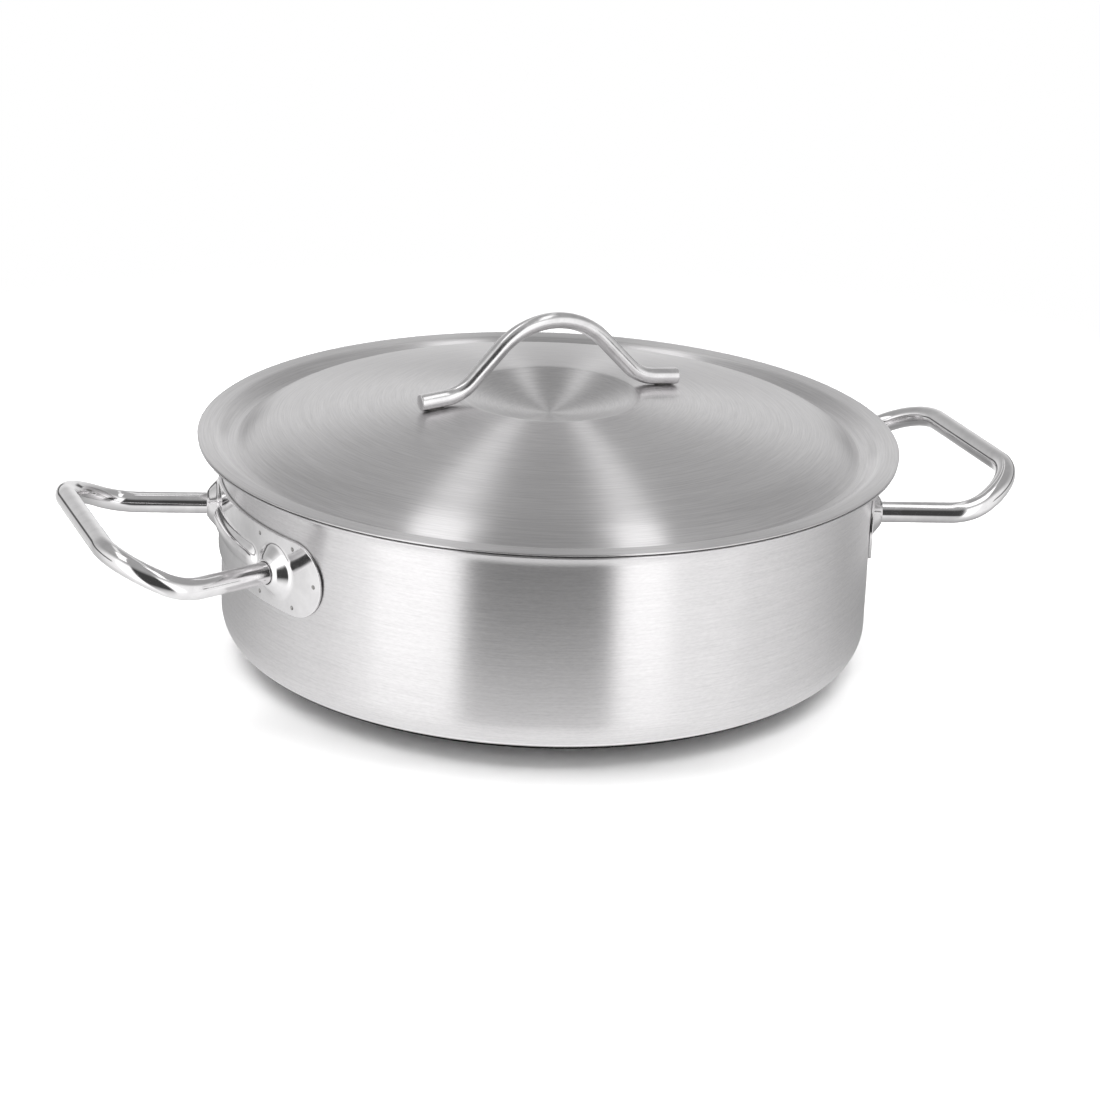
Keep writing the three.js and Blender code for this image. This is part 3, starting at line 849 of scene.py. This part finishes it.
def plateMesh(name, spin):
    points, faces = [], []
    rays = plateRays()
    count = len(rays)
    last = (plate["patchRings"] + plate["outerRings"] + plate["edgeRings"] - 1) * count
    for side in (-1, 1):
        starts = []
        for inner, profile in zip((0, plate["sheet"]), bossProfiles()):
            starts.append(len(points))
            points += plateSkin(side, inner, profile, rays, spin)
        outer, inside = starts
        half = []
        for ring in range(0, last, count):
            for k in range(count):
                a, b = ring + k, ring + (k + 1) % count
                half.append((outer + a, outer + b, outer + b + count, outer + a + count))
                half.append((inside + a, inside + a + count, inside + b + count, inside + b))
        for k in range(count):
            b = (k + 1) % count
            half.append((outer + k, inside + k, inside + b, outer + b))        # round the hole
            if k < plate["roundRays"]:        # the other rays end where the halves meet
                half.append((outer + last + k, outer + last + b, inside + last + b, inside + last + k))
        faces += half if side > 0 else [face[::-1] for face in half]
    return meshFrom(name, points, faces)


# weld points that fix each plate to the wall

weld = {
    "radius": 1.1 * mm, "dent": 0.42 * mm, "depth": 1.0 * mm, "cupPower": 1.5,
    "row": 14.5 * mm, "column": 13.3 * mm, "edge": 4.7 * mm,
    "sides": 24, "rings": 6, "crease": 40,
}


def weldPlaces():
    places = []
    for side in (-1, 1):
        for column in (-weld["column"], weld["column"]):
            for row in (-weld["row"], weld["row"]):
                places.append((side * bossArc + column, row))
        places.append((side * (plateHalf - weld["edge"]), 0))
    return places


def weldCutter(spin):
    cutter = bmesh.new()
    for u, v in weldPlaces():
        angle = u / pot["wallRadius"] + spin
        place = Matrix.Translation(onPlate(u, v, 0, spin)) @ Matrix.Rotation(angle, 4, "Z")
        place = place @ Matrix.Rotation(halfTurn / 2, 4, "Y")
        bmesh.ops.create_cone(cutter, cap_ends=True, segments=weld["sides"], radius1=weld["radius"],
                              radius2=weld["radius"], depth=2 * weld["depth"], matrix=place)
    mesh = bpy.data.meshes.new("weldCutter")
    cutter.to_mesh(mesh)
    cutter.free()
    return addPiece("weldCutter", mesh)


def makePlate(hand, turn):
    piece = addPiece(hand + "Plate", plateMesh(hand + "Plate", turn))
    cutter = weldCutter(turn)
    dents = piece.modifiers.new("dents", "BOOLEAN")
    dents.object = cutter
    dents.operation = "DIFFERENCE"
    dents.solver = "EXACT"
    bakeModifiers(piece)
    bpy.data.objects.remove(cutter)
    piece.data.materials.clear()
    piece.data.materials.append(brightSteel)
    shadeSoft(piece.data, plate["crease"])
    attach(piece, "pot")
    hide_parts(hand + "_handle_plate")


def weldDent():
    # a shallow cup that closes a hole of the plate
    face = []
    for k in range(weld["rings"] + 1):
        part = k / weld["rings"]
        face.append(Vector((weld["radius"] * part, -weld["dent"] * (1 - part ** 2) ** weld["cupPower"])))
    outline = face + [Vector((weld["radius"], -weld["depth"])), Vector((0, -weld["depth"]))]
    mesh = lathe("weldDent", outline, weld["sides"])
    shadeSoft(mesh, weld["crease"])
    return addPiece("weldDent", mesh)


def makeWeldTree():
    tree = bpy.data.node_groups.new("weldRow", "GeometryNodeTree")
    addSocket(tree, "places", "NodeSocketGeometry")
    addSocket(tree, "weld", "NodeSocketObject")
    addSocket(tree, "scale", "NodeSocketFloat", 1.0)
    addSocket(tree, "finish", "NodeSocketMaterial")
    addSocket(tree, "welds", "NodeSocketGeometry", out=True)
    inputs, outputs = groupEnds(tree)
    shape = tree.nodes.new("GeometryNodeObjectInfo")
    facing = tree.nodes.new("GeometryNodeInputNamedAttribute")
    facing.data_type = "FLOAT_VECTOR"
    facing.inputs["Name"].default_value = "facing"
    align = tree.nodes.new("FunctionNodeAlignRotationToVector")
    align.axis = "Z"
    spread = tree.nodes.new("GeometryNodeInstanceOnPoints")
    real = tree.nodes.new("GeometryNodeRealizeInstances")
    finish = tree.nodes.new("GeometryNodeSetMaterial")
    joinUp(tree,
           (inputs.outputs["places"], spread.inputs["Points"]),
           (inputs.outputs["weld"], shape.inputs["Object"]),
           (shape.outputs["Geometry"], spread.inputs["Instance"]),
           (facing.outputs["Attribute"], align.inputs["Vector"]),
           (align.outputs["Rotation"], spread.inputs["Rotation"]),
           (inputs.outputs["scale"], spread.inputs["Scale"]),
           (spread.outputs["Instances"], real.inputs["Geometry"]),
           (real.outputs["Geometry"], finish.inputs["Geometry"]),
           (inputs.outputs["finish"], finish.inputs["Material"]),
           (finish.outputs["Geometry"], outputs.inputs["welds"]))
    return tree


weldRow = makeWeldTree()


def spreadWelds(name, shape, places, facings):
    mesh = bpy.data.meshes.new(name)
    mesh.from_pydata(places, [], [])
    flat = [number for facing in facings for number in facing]
    mesh.attributes.new("facing", "FLOAT_VECTOR", "POINT").data.foreach_set("vector", flat)
    piece = addPiece(name, mesh)
    addTree(piece, weldRow, weld=shape, scale=1.0, finish=weldMetal)
    bakeModifiers(piece)
    bpy.data.objects.remove(shape)
    return piece


def makePlateWelds(turns):
    places, facings = [], []
    for turn in turns:
        for u, v in weldPlaces():
            angle = u / pot["wallRadius"] + turn
            places.append(onPlate(u, v, 0, turn))
            facings.append((math.cos(angle), math.sin(angle), 0))
    piece = spreadWelds("weldPoints", weldDent(), places, facings)
    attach(piece, "pot")
    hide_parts(*[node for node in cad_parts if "_spot_weld_" in node])


for hand, turn in (("right", 0), ("left", halfTurn)):
    makeLoop(hand, turn)
    makePlate(hand, turn)
makePlateWelds((0, halfTurn))
print("side handles made")


# weld pads under the feet of the rod

pad = {
    "length": 12 * mm, "width": 3.2 * mm, "height": 0.6 * mm, "sink": 0.2 * mm,
    "sides": 20, "rings": 5, "crease": 50,
}


def padShape():
    # a low mound, longer than wide: half a ball of radius one, then flattened
    outline = [Vector((0, 0))]
    for k in range(pad["rings"] + 1):
        lift = halfTurn / 2 * k / pad["rings"]
        outline.append(Vector((math.cos(lift), math.sin(lift))))
    mesh = lathe("padShape", outline, pad["sides"])
    mesh.transform(Matrix.Diagonal((pad["length"] / 2, pad["width"] / 2, pad["height"], 1)))
    shadeSoft(mesh, pad["crease"])
    return addPiece("padShape", mesh)


def makePads():
    slope = math.asin(rod["footRadius"] / lid["domeRadius"])
    reach = lid["domeRadius"] - pad["sink"]
    places, facings = [], []
    for side in (-1, 1):
        outward = Vector((side * math.sin(slope), 0, math.cos(slope)))
        turned = Matrix.Rotation(lid["turn"], 3, "Z") @ outward
        places.append(turned * reach + Vector((0, 0, domeCentre)))
        facings.append(turned)
    piece = spreadWelds("lidPads", padShape(), places, facings)
    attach(piece, "lid")
    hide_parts("lid_weld_left", "lid_weld_right")


makePads()
print("weld pads made")


# camera at the photo's viewing angle

view = {
    "turn": math.radians(21.5384), "elevation": math.radians(20.3351), "roll": math.radians(2.1022),
    "distance": 1678.6 * mm, "aimRight": 2.66 * mm, "aimHeight": 48.2 * mm, "lens": 110.463, "sensor": 36,
    "clipEnd": 50,
}


def fromView(right, away, up):
    # a place given from where the viewer stands, in the pot's own frame
    return Matrix.Rotation(-view["turn"], 3, "Z") @ Vector((right, away, up))


def makeCamera():
    data = bpy.data.cameras.new("camera")
    data.sensor_width = view["sensor"]
    data.lens = view["lens"]
    data.clip_end = view["clipEnd"]
    back = fromView(0, -math.cos(view["elevation"]), math.sin(view["elevation"]))
    up = fromView(0, math.sin(view["elevation"]), math.cos(view["elevation"]))
    right = up.cross(back)
    spin = Matrix.Rotation(view["roll"], 3, back)
    aim = fromView(view["aimRight"], 0, view["aimHeight"])
    place = Matrix((spin @ right, spin @ up, back)).transposed().to_4x4()
    place.translation = aim + back * view["distance"]
    camera = bpy.data.objects.new("camera", data)
    camera.matrix_world = place
    scene.collection.objects.link(camera)
    scene.camera = camera


# studio: pale floor, soft strips over the lid, one broad light above, and grey walls with two bright panels

studio = {
    "floorHalf": 3.0, "floorTone": (0.92, 0.92, 0.92, 1), "floorStart": 0.3, "floorEnd": 0.7,
    # the floor as the steel mirrors it is painted light, brighter in front than behind, with a painted shadow
    # under the pot
    "mirroredFront": 1.08, "mirroredRear": 0.3, "mirroredStart": 0.2, "mirroredEnd": 0.36,
    "glowFrom": -0.12, "glowTo": 0.2,
    "paintedShadowCore": 0.147, "paintedShadowEdge": 0.152,
    "straightBelow": 0.5,        # fewer diffuse bounces than this leave a ray straight
    "backdrop": 1.0, "ambient": 0.6,
    "top": 0.4, "frontStart": 0.5, "frontEnd": 0.85, "rearStart": 0.1, "rearEnd": 0.7, "sideZone": 0.3,
    "gapLow": -0.03, "gapHigh": 0.12, "gapSoft": 0.015, "gapTone": 0.12,
    "gapFrom": 70, "gapTo": 162, "gapEnd": 170,        # degrees to either side of the camera
}
# tones round the pot, by degrees to the right of the camera: two bright panels beside a dark gap
surround = (
    (-180, 0.9), (-150, 0.84), (-126, 0.58), (-80, 1.0), (-62, 1.1), (-58, 1.46), (-30, 1.46), (-25, 0.06),
    (23, 0.06), (27, 1.46), (42, 1.46), (47, 1.1), (80, 1.0), (126, 0.58), (150, 0.7), (180, 0.9),
)
# strips over the lid, wider and brighter in front; places are from where the viewer stands
strips = (
    {"right": -0.65, "away": -0.23, "turn": math.radians(-25), "width": 0.42, "length": 1.14, "power": 1.72},
    {"right": -0.3, "away": 1.15, "turn": math.radians(-9), "width": 0.18, "length": 1.65, "power": 0.5},
    {"right": 0.57, "away": -0.23, "turn": math.radians(23), "width": 0.33, "length": 1.14, "power": 1.35},
    {"right": 0.26, "away": 1.15, "turn": math.radians(8), "width": 0.14, "length": 1.65, "power": 0.38},
)
stripHeight = 1.6
topLight = {"right": -0.3, "away": 0.6, "height": 2.4, "width": 6.0, "depth": 2.2, "power": 220}


def makeFloor():
    half = studio["floorHalf"]
    corners = [(-half, -half, 0), (half, -half, 0), (half, half, 0), (-half, half, 0)]
    mesh = meshFrom("floor", corners, [(0, 1, 2, 3)])
    floor = addPiece("floor", mesh)
    material, tree, shader = newMaterial("floorPaper")
    tree.nodes.remove(shader)
    rays = addNode(tree, "ShaderNodeLightPath")
    straight = addMath(tree, "LESS_THAN", rays.outputs["Diffuse Depth"], studio["straightBelow"])
    mirrored = addMath(tree, "MULTIPLY", rays.outputs["Is Glossy Ray"], straight)
    place = objectPlace(tree)
    away = addNode(tree, "ShaderNodeVectorMath", operation="LENGTH")
    tree.links.new(place, away.inputs[0])
    paper = addNode(tree, "ShaderNodeBsdfDiffuse")
    paper.inputs["Color"].default_value = studio["floorTone"]
    towards = addNode(tree, "ShaderNodeVectorMath", operation="DOT_PRODUCT")
    tree.links.new(place, towards.inputs[0])
    towards.inputs[1].default_value = fromView(0, -1, 0)
    glow = addNode(tree, "ShaderNodeEmission")        # painted light: an emission stands in for the lit paper as the steel mirrors it, brighter in front than behind, with a painted shadow under the pot
    lit = addRange(tree, towards.outputs["Value"], studio["glowFrom"], studio["glowTo"],
                   studio["mirroredRear"], studio["mirroredFront"], smooth=True)
    # painted shadow: the mirrored floor goes dark under the pot
    beside = addRange(tree, away.outputs["Value"], studio["paintedShadowCore"], studio["paintedShadowEdge"], 0, 1, smooth=True)
    tree.links.new(addMath(tree, "MULTIPLY", lit, beside), glow.inputs["Strength"])
    clear = addNode(tree, "ShaderNodeBsdfTransparent")
    sheet = addMix(tree, mirrored, paper.outputs[0], glow.outputs[0])
    # the paper melts into the surroundings, in reflections sooner than for the camera
    far = addRange(tree, away.outputs["Value"], studio["floorStart"], studio["floorEnd"], 0, 1, smooth=True)
    gone = addRange(tree, away.outputs["Value"], studio["mirroredStart"], studio["mirroredEnd"],
                    0, 1, smooth=True)
    mix = addMix(tree, addRange(tree, mirrored, 0, 1, far, gone), sheet, clear.outputs[0])
    tree.links.new(mix, tree.nodes["Material Output"].inputs["Surface"])
    material.cycles.emission_sampling = "NONE"
    mesh.materials.append(material)


def makeSurround():
    world = bpy.data.worlds.new("studio")
    world.use_nodes = True
    scene.world = world
    tree = world.node_tree
    place = addNode(tree, "ShaderNodeTexCoord")
    turned = addNode(tree, "ShaderNodeVectorRotate", rotation_type="Z_AXIS")
    tree.links.new(place.outputs["Generated"], turned.inputs["Vector"])
    turned.inputs["Angle"].default_value = view["turn"]
    axes = addNode(tree, "ShaderNodeSeparateXYZ")
    tree.links.new(turned.outputs[0], axes.inputs[0])
    towards = addMath(tree, "MULTIPLY", axes.outputs["Y"], -1)
    bearing = addMath(tree, "ARCTAN2", axes.outputs["X"], towards)
    walls = addNode(tree, "ShaderNodeValToRGB")
    tree.links.new(addRange(tree, bearing, -halfTurn, halfTurn, 0, 1), walls.inputs["Fac"])
    stops = walls.color_ramp.elements
    while len(stops) < len(surround):
        stops.new(1)
    brightest = max(tone for angle, tone in surround)        # a ramp holds no more than white
    for stop, (angle, tone) in zip(stops, surround):
        stop.position = (angle + 180) / 360
        stop.color = (tone / brightest, tone / brightest, tone / brightest, 1)
    wall = addMath(tree, "MULTIPLY", walls.outputs["Color"], brightest)
    # the walls reach higher in front than behind
    zone = studio["sideZone"]
    start = addRange(tree, towards, -zone, zone, studio["rearStart"], studio["frontStart"])
    end = addRange(tree, towards, -zone, zone, studio["rearEnd"], studio["frontEnd"])
    high = addRange(tree, axes.outputs["Z"], start, end, 0, 1, smooth=True)
    tone = addRange(tree, high, 0, 1, wall, studio["top"])
    # a dark gap runs along the foot of the walls, beside and behind the pot
    soft = studio["gapSoft"]
    above = addRange(tree, axes.outputs["Z"], studio["gapLow"] - soft, studio["gapLow"] + soft, 0, 1)
    below = addRange(tree, axes.outputs["Z"], studio["gapHigh"] - soft, studio["gapHigh"] + soft, 1, 0)
    sideways = addMath(tree, "ABSOLUTE", bearing)
    aside = addMath(tree, "GREATER_THAN", sideways, math.radians(studio["gapFrom"]))
    ending = addRange(tree, sideways, math.radians(studio["gapTo"]), math.radians(studio["gapEnd"]),
                      aside, 0)
    gap = addMath(tree, "MULTIPLY", addMath(tree, "MULTIPLY", above, below), ending)
    tone = addRange(tree, gap, 0, 1, tone, studio["gapTone"])
    rays = addNode(tree, "ShaderNodeLightPath")
    weak = addMath(tree, "MULTIPLY", tone, studio["ambient"])        # the floor is lit from above
    lit = addRange(tree, rays.outputs["Diffuse Depth"], 0, 1, tone, weak)
    seen = addRange(tree, rays.outputs["Is Camera Ray"], 0, 1, lit, studio["backdrop"])
    tree.links.new(seen, tree.nodes["Background"].inputs["Color"])


def addLight(name, place, turn, width, length, power):
    # a flat soft light that shines straight down
    data = bpy.data.lights.new(name, "AREA")
    data.shape = "RECTANGLE"
    data.size = width
    data.size_y = length
    data.energy = power
    lamp = bpy.data.objects.new(name, data)
    lamp.location = place
    lamp.rotation_euler = (0, 0, turn - view["turn"])
    scene.collection.objects.link(lamp)
    return lamp


def makeLights():
    for k, strip in enumerate(strips):
        place = fromView(strip["right"], strip["away"], stripHeight)
        addLight(f"strip{k}", place, strip["turn"], strip["width"], strip["length"], strip["power"])
    above = fromView(topLight["right"], topLight["away"], topLight["height"])
    lamp = addLight("topLight", above, 0, topLight["width"], topLight["depth"], topLight["power"])
    lamp.visible_glossy = False        # the strips and panels are what the steel mirrors


makeCamera()
makeFloor()
makeSurround()
makeLights()
scene.view_settings.view_transform = "Standard"
print("camera and studio set")
